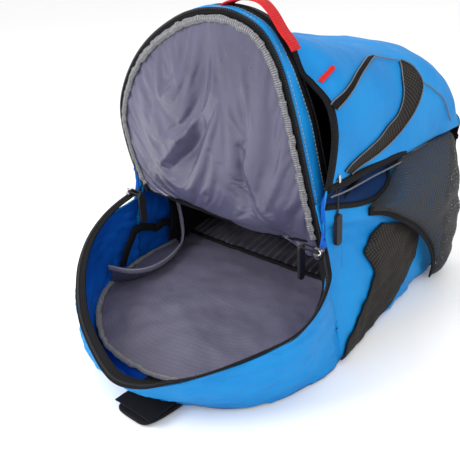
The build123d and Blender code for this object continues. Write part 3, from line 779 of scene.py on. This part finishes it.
for side in SIDES:
    bands = [on_panel_side(line, side) for line in BAND_LINES]
    curves = [on_panel_side(line, side) for line in CURVE_LINES]
    panel_strip(f"panel_band_{side}", *bands, 40, [WEBBING], 1.6, replaces=[f"front_band_{side}"])
    panel_strip(f"panel_insert_{side}", *curves, 60, [MESH], 1.4, replaces=[f"front_mesh_{side}"])

for number, seam in enumerate(PANEL_SEAMS):
    for side in SIDES:
        line = on_panel(path(on_panel_side(seam, side), 60), 2.2)
        swept(f"panel_welt_{number}_{side}", line, (0, 0, 1), oval(1.3, 1.3, 6), [PIPING],
              FLAP_BEND)

panel_strip("stitched_bar", [(0.196, 0.045), (0.222, 0.118)], [(0.203, 0.036), (0.229, 0.109)], 30,
            [RED], 1.6)

panel_zip_line = on_panel(np.stack([np.linspace(0.0, 1.0, 220), np.full(220, 0.008)], axis=1), 0.4)
swept("panel_zip_tape", panel_zip_line, (0, -1, 0.0), slab(3.0, 9.0), [TAPE], FLAP_BEND,
                  replaces=["front_zip_tape_left", "front_zip_tape_right", "front_zip_tape_flap"])

# black base, from the end of the outer panel down to the ground
BASE_ROWS = [arch(281, 214), arch(287, 196, 147, 6, 180), arch(289, 184, 145, 9, 160)]
LOW_BASE = [(291, 120), (290, 60), (286, 20), (274, 4), (245, 3)]
base_rows = BASE_ROWS + [
    resample([(143, y, z), (70, y + 3, z), (0, y + 4, z), (-70, y + 3, z), (-143, y, z)], 121)
    for y, z in LOW_BASE
]
base = skin(base_rows, 10)
base = raised(base, 1.5 + bumps(base, 50, 21) * 1.5)
cloth("base_cover", base, 1.8, [DARK], replaces=["base_panel"])

# ------------------------------------------------------------------ lid

gusset_rows = [
    on_lid(LID_OUTLINE, -1.5 - (gusset_width(lid_share) - 1.5) * step)
    for step in np.linspace(0, 1, 9)
]
gusset = np.array(gusset_rows)
gusset = raised(gusset, np.sin(np.linspace(0, math.pi, 9))[:, None] * 2.0
                + bumps(gusset, 28, 31) * 0.9)
cloth("lid_side_strip", gusset, 1.6, [BLUE, DARK], LID_BEND, replaces=["lid_gusset"])

tape_line = on_lid(inset(LID_OUTLINE, 2.6), 0.0)
swept("lid_zip_tape", tape_line, (0, -1, 0), slab(7.0, 1.6), [TAPE], LID_BEND,
                 replaces=["main_zip_tape_lid"])
teeth("lid_zip_teeth", on_lid(LID_OUTLINE, 0.5), (0, -1, 0), 0.6, [TEETH], LID_BEND)
outer_tape_line = on_lid(inset(LID_OUTLINE, 1.0), -gusset_width(lid_share) - 3.5)
swept("lid_outer_tape", outer_tape_line, (0, -1, 0), slab(2.4, 7.5), [TAPE], LID_BEND,
      replaces=["front_zip_tape_lid"])
teeth("lid_outer_teeth", on_lid(LID_OUTLINE, -gusset_width(lid_share) - 7.5), (0, -1, 0), 0.0,
      [TEETH], LID_BEND)

LINING_BOTTOM = [(-128, 6), (-91, 3), (-62, 6), (-34, 6), (-3, 1), (31, -4), (55, -6), (79, -2),
                 (94, -3), (110, -8), (122, -16), (136, -12), (142, 0)]


def disc_grid(outline, centre, count):
    """A square grid mapped onto the inside of a closed outline that is seen whole from `centre`."""
    spokes = outline - centre
    angles = np.arctan2(spokes[:, 1], spokes[:, 0])
    radii = np.linalg.norm(spokes, axis=1)
    order = np.argsort(angles)
    a, b = np.meshgrid(np.linspace(-1, 1, count), np.linspace(-1, 1, count), indexing="ij")
    u, v = a * np.sqrt(1 - b * b / 2), b * np.sqrt(1 - a * a / 2)
    reach = np.interp(np.arctan2(v, u), angles[order], radii[order], period=2 * math.pi)
    return centre + np.stack([u, v], axis=-1) * reach[..., None]


lining_closed = np.vstack([inset(LID_OUTLINE, 8.5)[3:-3], path(LINING_BOTTOM, 60)[2:-2]])
flat_lining = disc_grid(lining_closed, np.array([0.0, 105.0]), 71)


def relaxed_cloth(grid, thin, frames, slack, seed):
    """Drops a pinned sheet with slack under gravity and returns its settled points."""
    rows, columns = grid.shape[:2]
    index = np.arange(rows * columns).reshape(rows, columns)
    quads = np.stack(
        [index[:-1, :-1], index[1:, :-1], index[1:, 1:], index[:-1, 1:]], axis=-1
    ).reshape(-1, 4)
    mesh = bpy.data.meshes.new("settling")
    start = raised(grid, bumps(grid, 40, seed) * 0.6)
    mesh.from_pydata([tuple(v) for v in start.reshape(-1, 3) * MM], [], [tuple(q) for q in quads])
    cloth_object = bpy.data.objects.new("settling", mesh)
    bpy.context.collection.objects.link(cloth_object)
    edge = np.concatenate([index[0], index[-1], index[:, 0], index[:, -1]])
    group = cloth_object.vertex_groups.new(name="held")
    group.add([int(i) for i in edge], 1.0, "REPLACE")
    modifier = cloth_object.modifiers.new("cloth", "CLOTH")
    settings = modifier.settings
    settings.quality = 6
    settings.mass = 0.15
    settings.tension_stiffness = 12
    settings.compression_stiffness = 12
    settings.shear_stiffness = 4
    settings.bending_stiffness = thin
    settings.vertex_group_mass = "held"
    settings.pin_stiffness = 1
    settings.shrink_min = -slack
    settings.air_damping = 3
    modifier.collision_settings.use_collision = False
    scene = bpy.context.scene
    scene.frame_start, scene.frame_end = 1, frames
    for number in range(1, frames + 1):
        scene.frame_set(number)
    settled = cloth_object.evaluated_get(bpy.context.evaluated_depsgraph_get())
    points = np.empty(rows * columns * 3)
    settled.data.vertices.foreach_get("co", points)
    scene.frame_set(1)
    bpy.data.objects.remove(cloth_object)
    return points.reshape(rows, columns, 3) / MM


def denser(grid, per=2):
    """The grid with `per` times as many points each way, on smooth curves."""
    once = skin(grid, per)
    return skin(once.transpose(1, 0, 2), per).transpose(1, 0, 2)


# folds that run down from the corner held up: height, half width, then the line (x, t)
LINING_FOLDS = [
    (10.0, 8, [(38, 216), (34, 182), (17, 144), (-29, 101), (-75, 61), (-113, 25)]),
    (9.5, 7, [(35, 141), (57, 112), (63, 71), (75, 31), (89, 4)]),
    (7.0, 6, [(-56, 191), (-8, 201), (25, 209)]),
    (7.0, 7, [(-88, 132), (-60, 139), (-16, 162), (19, 191)]),
    (6.0, 5, [(-121, 59), (-107, 48), (-112, 30)]),
    (5.0, 7, [(-81, 23), (-25, 41), (15, 45), (42, 29)]),
    (-9.0, 9, [(17, 135), (-21, 93), (-64, 50)]),
    (-8.0, 8, [(-16, 188), (-48, 156), (-91, 121), (-118, 113)]),
    (-8.0, 8, [(86, 186), (92, 138), (93, 97), (96, 59)]),
    (-7.0, 6, [(51, 95), (50, 55), (64, 16)]),
    (5.0, 6, [(58, 188), (66, 160), (72, 128), (74, 104)]),
    (4.5, 5, [(-96, 92), (-70, 88), (-40, 96)]),
]


def fold_height(flat, folds):
    """Height of a set of soft folds at flat points."""
    height = np.zeros(flat.shape[:-1])
    for crest, half, line in folds:
        points = path(line, 60)
        gaps = np.linalg.norm(flat[..., None, :] - points, axis=-1)
        nearest = gaps.argmin(axis=-1) / 59
        fade = 0.35 + 0.65 * np.sin(math.pi * np.clip(nearest * 0.9 + 0.05, 0, 1))
        height += crest * fade * np.exp(-((gaps.min(axis=-1) / half) ** 2))
    return height


edge_gap = np.sin(np.linspace(0, math.pi, 71)) ** 0.5
edge_gap = edge_gap[:, None] * edge_gap[None]
folded = fold_height(flat_lining, LINING_FOLDS) + bumps(flat_lining, 30, 48) * 2.0
lining_start = on_lid(flat_lining, 1.0 + folded * edge_gap)
lining = relaxed_cloth(lining_start, 0.6, 8, 0.012, 41)
lining = denser(lining)
lining = facing(lining, 60, 60, 1, -1)
cloth("lid_satin", lining, 0.8, [LINING, DARK], LID_BEND, replaces=["lid_lining"])

crinkle_line = on_lid(inset(LID_OUTLINE, 8.5), 2.6)[2:-2]
crinkle_line = resample(crinkle_line, 420)
crinkle = 1.0 + 0.32 * bumps(crinkle_line, 7, 43) + 0.15 * bumps(crinkle_line, 3, 44)
crinkle_line = crinkle_line + np.stack(
    [bumps(crinkle_line, 12, 45), bumps(crinkle_line, 12, 46), bumps(crinkle_line, 12, 47)], axis=1
) * 1.1
swept("lid_seam_binding", crinkle_line, (0, -1, 0), oval(7.5, 5.0, 14), [BINDING], LID_BEND,
      scale=crinkle, replaces=["lid_binding"])

# ------------------------------------------------------------------ mouth: tape, teeth
rim_share = np.linspace(0, 1, len(RIM_OUTLINE))
near_tilt = 1 - smooth(rim_share, 0.28, 0.5)
rim_tape_line = on_rim(inset(RIM_OUTLINE, 3.2 - 1.6 * near_tilt), 1.2) - np.stack(
    [0 * near_tilt, 0 * near_tilt, 1.5 * near_tilt], axis=1
)
rim_up = np.stack(
    [-0.85 * near_tilt, 0.35 * near_tilt - 0.35 * (1 - near_tilt), np.full_like(near_tilt, 0.75)],
    axis=1,
)
swept("mouth_zip_tape", rim_tape_line, rim_up, slab(12.5, 1.6), [TAPE],
      replaces=["main_zip_tape_body"])
teeth("mouth_zip_teeth", on_rim(RIM_OUTLINE, 2.0), (0, -0.35, 0.93), 0.6, [TEETH])

# ------------------------------------------------------------------ inside
# foot of the wall on the inside, from the near side round the top to the far side
FLOOR_EDGE = [(140, 60, 34), (150, 20, 26), (157, -22, 20), (154, -56, 17), (143, -92, 15),
              (114, -126, 13), (78, -147, 13), (43, -157, 13), (10, -160, 13), (-20, -158, 14),
              (-54, -148, 14), (-94, -123, 16), (-122, -95, 18), (-138, -66, 21), (-146, -30, 24),
              (-148, 10, 28), (-144, 72, 34)]
HEM = [(150, 38, 62), (112, 47, 58), (60, 54, 53), (0, 60, 50), (-60, 66, 46), (-112, 73, 42),
       (-140, 80, 40)]
floor_edge = path(FLOOR_EDGE, 150)
hem_line = path(HEM, 150)
reach = np.linspace(0, 1, 70)
back_lining = between(floor_edge, hem_line, reach)
rise = np.sin(math.pi * reach) ** 0.8
back_lining[..., 2] += rise[None] * 4.0
ripples = bumps(back_lining, 60, 51) * 4.0 + bumps(back_lining * (1, 1.6, 1), 26, 52) * 1.2
pucker = np.sin(np.linspace(0, 90, 150))[:, None] * np.exp(-reach[None] * 22) * 1.2
back_lining[..., 2] += (ripples * np.minimum(1, rise * 2)[None]) + pucker
back_lining = facing(back_lining, 75, 35, 2)
cloth("back_lining", back_lining, 1.5, [RIBBED_LINING], replaces=["back_panel"])

seam_line = path(FLOOR_EDGE, 260) + (0, 0, 3.0)
seam_crinkle = 1.0 + 0.3 * bumps(seam_line, 8, 53)
seam_line = seam_line + bumps(seam_line, 14, 54)[:, None] * (1.0, 1.0, 1.2)
swept("floor_seam_binding", seam_line, (0, 0, 1), oval(6.5, 5.0, 12), [BINDING],
      scale=seam_crinkle, replaces=["rim_binding"])

sleeve_far = path([(140, 270, 62), (60, 272, 60), (-60, 272, 58), (-138, 270, 56)], 150)
sleeve_reach = np.linspace(0, 1, 60)
sleeve = between(hem_line, sleeve_far, sleeve_reach)
gathers = np.sin(np.linspace(0, 150, 150) + 2.5 * bumps(hem_line, 30, 55))[:, None]
gathers = gathers * (0.25 + np.exp(-sleeve_reach[None] * 5)) * 2.6
sleeve[..., 2] += (gathers + bumps(sleeve, 22, 56) * 3.0
                   * np.sin(math.pi * sleeve_reach)[None] ** 0.5)
sleeve[..., 2] += 10 * np.sin(math.pi * sleeve_reach)[None] ** 0.6
sleeve = facing(sleeve, 75, 30, 2)
cloth("gathered_sleeve", sleeve, 1.2, [GATHERED], replaces=["inner_sleeve"])
hem_path = path(HEM, 120) + (0, 0, 2.0) + bumps(path(HEM, 120), 12, 57)[:, None] * (0, 0.6, 0.8)
swept("sleeve_elastic_hem", hem_path, (0, 0, 1), oval(7.5, 4.5, 12), [WEBBING],
      replaces=["sleeve_hem"])

# flat pocket on the far wall, sagging open towards the middle
ORGANISER_EDGE = [(-138, 50, 118), (-125, 46, 98), (-116, 42, 72), (-111, 36, 53), (-102, 20, 49),
                  (-90, -12, 48), (-87, -44, 49), (-99, -66, 51), (-124, -79, 54)]
ORGANISER_FOOT = [(-147, 60, 48), (-142, 54, 36), (-132, 46, 30), (-126, 36, 26), (-122, 15, 23),
                  (-120, -12, 22), (-120, -40, 22), (-126, -60, 23), (-138, -70, 26)]
edge, foot = path(ORGANISER_EDGE, 90), path(ORGANISER_FOOT, 90)
drop = np.linspace(0, 1, 20)
organiser = between(edge, foot, drop)
organiser[..., 0] += np.sin(math.pi * drop)[None] * 5 + bumps(organiser, 22, 61) * 2.0
organiser = facing(organiser, 45, 10, 0)
cloth("organiser_front", organiser, 1.0, [LINING, DARK], replaces=["organiser_pocket"])
band_line = edge + (0.8, 0, 0)
swept("organiser_edge_band", band_line, (0.35, 0, 1), slab(2.4, 7.0, 0.5), [TRIM],
      replaces=["organiser_trim"])
# black bound seam on the far wall behind the pocket, seen in its mouth
BOUND_SEAM = [(-143, -44, 34), (-141, -36, 52), (-141, -27, 66), (-141, -17, 77), (-141, 2, 75),
              (-141, 19, 69), (-141, 32, 71), (-141, 50, 66)]
bound_seam = path(BOUND_SEAM, 90)
bound_seam = bound_seam + bumps(bound_seam, 16, 63)[:, None] * (0.5, 1.5, 2.0)
swept("wall_bound_seam", bound_seam, (1, 0, 0.2), slab(10.0, 1.6, 0.5), [WEBBING])


def painted_shade_sheet(side, sign, place):
    """Dark sheet on the inside of the wall, over the gathered sleeve: painted shade where the
    inside lies in shadow.
    """
    rows = [
        [(136.0, y, z) for y, z in ((34, 44), (42, 88), (34, 132))],
        [(135.0, y, z) for y, z in ((90, 40), (92, 90), (88, 140))],
        [(131.0, y, z) for y, z in ((170, 40), (170, 95), (170, 150))],
        [(124.0, y, z) for y, z in ((268, 40), (268, 95), (268, 150))],
    ]
    grid = place(skin([path(row, 30) for row in rows], 14))
    grid[..., 0] += bumps(grid, 26, 64) * 2.0
    grid = facing(grid, 20, 15, 0, -sign)
    cloth(f"painted_shade_sheet_{side}", grid, 1.0, [DARK], slot="lining_grey")


on_both_sides(painted_shade_sheet)

# wall between the main compartment and the front pocket, seen from below and above
DIVIDER_ROWS = [
    [(140, 1, 129), (70, 1, 122), (0, 2, 122), (-70, 1, 126), (-132, 1, 130)],
    [(146, 14, 160), (70, 22, 146), (0, 26, 142), (-70, 22, 146), (-146, 14, 160)],
    [(147, 60, 184), (70, 70, 172), (0, 72, 168), (-70, 70, 172), (-147, 60, 184)],
    [(146, 160, 187), (70, 160, 180), (0, 160, 177), (-70, 160, 180), (-146, 160, 187)],
    [(139, 280, 186), (70, 282, 184), (0, 282, 183), (-70, 282, 184), (-139, 280, 186)],
]
divider = skin([path(row, 60) for row in DIVIDER_ROWS], 14)
divider = raised(divider, bumps(divider, 45, 62) * 2.5)
# its black face is painted shade; the divider's lining is grey
cloth("divider_wall", divider, 1.2, [DARK, GATHERED], replaces=["pocket_divider"],
      slot="lining_grey")


# ------------------------------------------------------------------ underside and straps
foot = resample(wall[-1], 200)
spine = np.stack([np.zeros(200), np.clip(foot[:, 1], -150, 276), np.full(200, 12.0)], axis=1)
across = np.linspace(0, 1, 40)
under = between(foot, spine, across)
under[..., 2] = 3 + 9 * smooth(across, 0, 0.3)
under = facing(under, 100, 20, 2)
cloth("back_face", under, 1.2, [BLUE_INSIDE, AIR_MESH], slot="mesh_black")


def corners_of(node):
    """Lowest and highest corner of a CAD node in millimetres."""
    return [np.array(corner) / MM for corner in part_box(node)]


def pillow(low, high, shape=lambda y: (0.0, 1.0), power=5.0, rows=90, columns=48):
    """Closed, crowned pad between two corners; `shape` gives its middle shift and width share."""
    low, high = np.array(low, float), np.array(high, float)
    middle, half = (low + high) / 2, (high - low) / 2
    along = np.sin(np.linspace(-math.pi / 2, math.pi / 2, rows))
    round_end = np.maximum(1 - np.abs(along) ** power, 0) ** (1 / power)
    turn = np.linspace(0, 2 * math.pi, columns, endpoint=False)
    grid = np.empty((rows, columns, 3))
    for row, (share, end) in enumerate(zip(along, round_end)):
        shift, width = shape(share)
        cosine, sine = np.cos(turn), np.sin(turn)
        bulge_x = np.sign(cosine) * np.abs(cosine) ** 0.5
        grid[row, :, 0] = middle[0] + shift + half[0] * width * end * bulge_x
        grid[row, :, 1] = middle[1] + half[1] * share
        crown = 1 - 0.18 * (np.abs(cosine) ** 2)
        grid[row, :, 2] = middle[2] + half[2] * end * np.sign(sine) * np.abs(sine) ** 0.5 * crown
    return grid


def taper(share):
    """A strap's shift and width share: narrower towards its lower end."""
    return 0.0, 1.0 - 0.27 * max(0.0, (share - 0.35) / 0.65)


def closed_piece(name, grid, mats, body="pack", **extra):
    """A closed piece from a grid whose columns run round it."""
    rows, columns = grid.shape[:2]
    index = np.arange(rows * columns).reshape(rows, columns)
    onward = np.roll(index, -1, axis=1)
    faces = np.stack([index[:-1], onward[:-1], onward[1:], index[1:]], axis=-1).reshape(-1, 4)
    caps = [list(index[0])[::-1], list(index[-1])]
    flat = np.stack([grid[..., 0], grid[..., 1]], axis=-1).reshape(-1, 2)
    faces = [list(face) for face in faces] + caps
    return make(name, grid.reshape(-1, 3), faces, mats, body, uvs=flat, **extra)


for name in ("back_pad_left", "back_pad_centre", "back_pad_right"):
    low, high = corners_of(name)
    grid = pillow(low + 0.4, high - 0.4)
    channels = 0.5 + 0.5 * np.cos(2 * math.pi * (grid[..., 1] - low[1]) / 62)
    middle_z = (low[2] + high[2]) / 2
    grid[..., 2] = middle_z + (grid[..., 2] - middle_z) * (1 - 0.30 * channels ** 6)
    pad = closed_piece(f"{name}_padding", grid, [AIR_MESH], replaces=[name])

for side, sign in SIDES.items():
    low, high = corners_of(f"shoulder_strap_{side}")
    strap = closed_piece(
        f"shoulder_strap_{side}_padding", pillow(low + 0.3, high - 0.3, taper, 7.0), [DARK],
        f"strap_{side}", replaces=[f"shoulder_strap_{side}"],
    )
    tab_low, tab_high = corners_of(f"strap_tab_{side}")
    ys = np.linspace(tab_low[1] + 4, tab_high[1], 40)
    xs = np.linspace(tab_low[0] + 2, tab_high[0] - 2, 24)
    grid = np.empty((40, 24, 3))
    grid[..., 0], grid[..., 1] = xs[None], ys[:, None]
    lift = smooth(ys, ys[0] + 8, ys[-1])[:, None]
    grid[..., 2] = 10.6 + 2.4 * lift + bumps(grid[..., :2], 20, 71) * 0.7
    grid = facing(grid, 20, 12, 2)
    cloth(f"strap_tab_{side}_cloth", grid, 1.2, [WEBBING], replaces=[f"strap_tab_{side}"],
          slot="fabric_black")
    web_low, web_high = corners_of(f"strap_webbing_{side}")
    start = np.array([sign * 64, web_low[1] + 1, 4.0])
    finish_point = np.array([sign * 98, web_high[1] - 4, 4.6])
    line = path([start, (start + finish_point) / 2 + (0, 0, 0.3), finish_point], 60)
    swept(f"strap_webbing_{side}_band", line, (0, 0, 1), slab(19, 1.5), [WEBBING],
          replaces=[f"strap_webbing_{side}"])

# ------------------------------------------------------------------ loop, hinge cloth, stitches
LOOP_LINE = [(29, 225), (34, 230), (44, 235.5), (63, 238.5), (81, 236.5), (93, 227), (104, 211),
             (112, 202), (117, 194)]
loop_line = on_lid(path(LOOP_LINE, 140), -13.0)
swept("grab_loop_webbing", loop_line, (0.6, 0, 0.8), slab(14.5, 2.0, 0.6), [RED], "grab_loop",
      replaces=["grab_loop"])


def hinge_cloth(side, sign, place):
    """Blue cloth that bridges the lid's side strip and the body beside the fold."""
    rows = []
    tuck = 4.0 if sign < 0 else 0.0
    for t, x in ((46, 138.5 - tuck), (24, 142.5 - tuck), (4, 147.0 - tuck)):
        flat = np.array([[x, t]] * 9, float)
        rows.append(on_lid(flat, -np.linspace(-1, 27, 9)))
    for z, x in ((118, 150.0), (102, 151.0), (88, 152.0)):
        y = np.linspace(-6, 24, 9)
        rows.append(np.stack([np.full(9, x), y, np.full(9, z)], axis=1))
    sheet = place(skin(rows, 8))
    sheet = facing(sheet, 20, 4, 0, sign)
    sheet = raised(sheet, bumps(sheet, 14, 74) * 0.8)
    cloth(f"hinge_cloth_{side}", sheet, 1.0, [BLUE], LID_BEND)


on_both_sides(hinge_cloth)
for number, depth in enumerate((-4.5, 2.5 - gusset_width(lid_share))):
    teeth(f"lid_stitches_{number}", on_lid(inset(LID_OUTLINE, -1.2), depth), (0, -1, 0), 0.0,
          [THREAD], LID_BEND, pitch=4.2, size=(2.6, 0.5, 0.6))

# ------------------------------------------------------------------ camera, floor and light
AZIMUTH, ELEVATION, ROLL = (math.radians(angle) for angle in (43.86, 24.33, -3.32))
backward = Vector((
    math.sin(AZIMUTH) * math.cos(ELEVATION),
    -math.cos(AZIMUTH) * math.cos(ELEVATION),
    math.sin(ELEVATION),
))
rightward = Vector((math.cos(AZIMUTH), math.sin(AZIMUTH), 0))
upward = backward.cross(rightward)
camera_data = bpy.data.cameras.new("camera")
camera_data.sensor_width = 36.0
camera_data.lens = 50.55
camera = bpy.data.objects.new("camera", camera_data)
bpy.context.collection.objects.link(camera)
look_at = (9.82 * rightward + 98.6 * upward) * MM
camera_right = math.cos(ROLL) * rightward + math.sin(ROLL) * upward
camera_up = -math.sin(ROLL) * rightward + math.cos(ROLL) * upward
turn = Matrix((camera_right, camera_up, backward)).transposed()
camera.matrix_world = Matrix.Translation(look_at + backward * 0.8) @ turn.to_4x4()
bpy.context.scene.camera = camera


def area_light(name, place, aim, size, power):
    """A soft square light that points at a place."""
    data = bpy.data.lights.new(name, "AREA")
    data.size = size
    data.energy = power
    light = bpy.data.objects.new(name, data)
    light.location = place
    light.rotation_euler = (Vector(aim) - Vector(place)).to_track_quat("-Z", "Y").to_euler()
    bpy.context.collection.objects.link(light)


area_light("key", (-0.75, -1.25, 1.15), (0, 0, 0.15), 0.9, 24)
area_light("fill", (1.4, -0.6, 1.0), (0, 0, 0.1), 1.4, 12)
area_light("top", (-0.4, 0.3, 1.9), (0, 0, 0), 1.6, 9)
world = bpy.data.worlds.new("studio")
world.use_nodes = True
world.node_tree.nodes["Background"].inputs[0].default_value = (1, 1, 1, 1)
world.node_tree.nodes["Background"].inputs[1].default_value = 1.03
bpy.context.scene.world = world
bpy.context.scene.view_settings.view_transform = "Standard"

floor_mesh = bpy.data.meshes.new("floor")
floor_mesh.from_pydata([(-6, -6, 0), (6, -6, 0), (6, 6, 0), (-6, 6, 0)], [], [(0, 1, 2, 3)])
floor_material = bpy.data.materials.new("white_table")
floor_material.use_nodes = True
floor_shader = floor_material.node_tree.nodes["Principled BSDF"]
floor_shader.inputs["Base Color"].default_value = (0.92, 0.92, 0.92, 1)
floor_shader.inputs["Roughness"].default_value = 0.6
floor_mesh.materials.append(floor_material)
floor = bpy.data.objects.new("floor", floor_mesh)
bpy.context.collection.objects.link(floor)
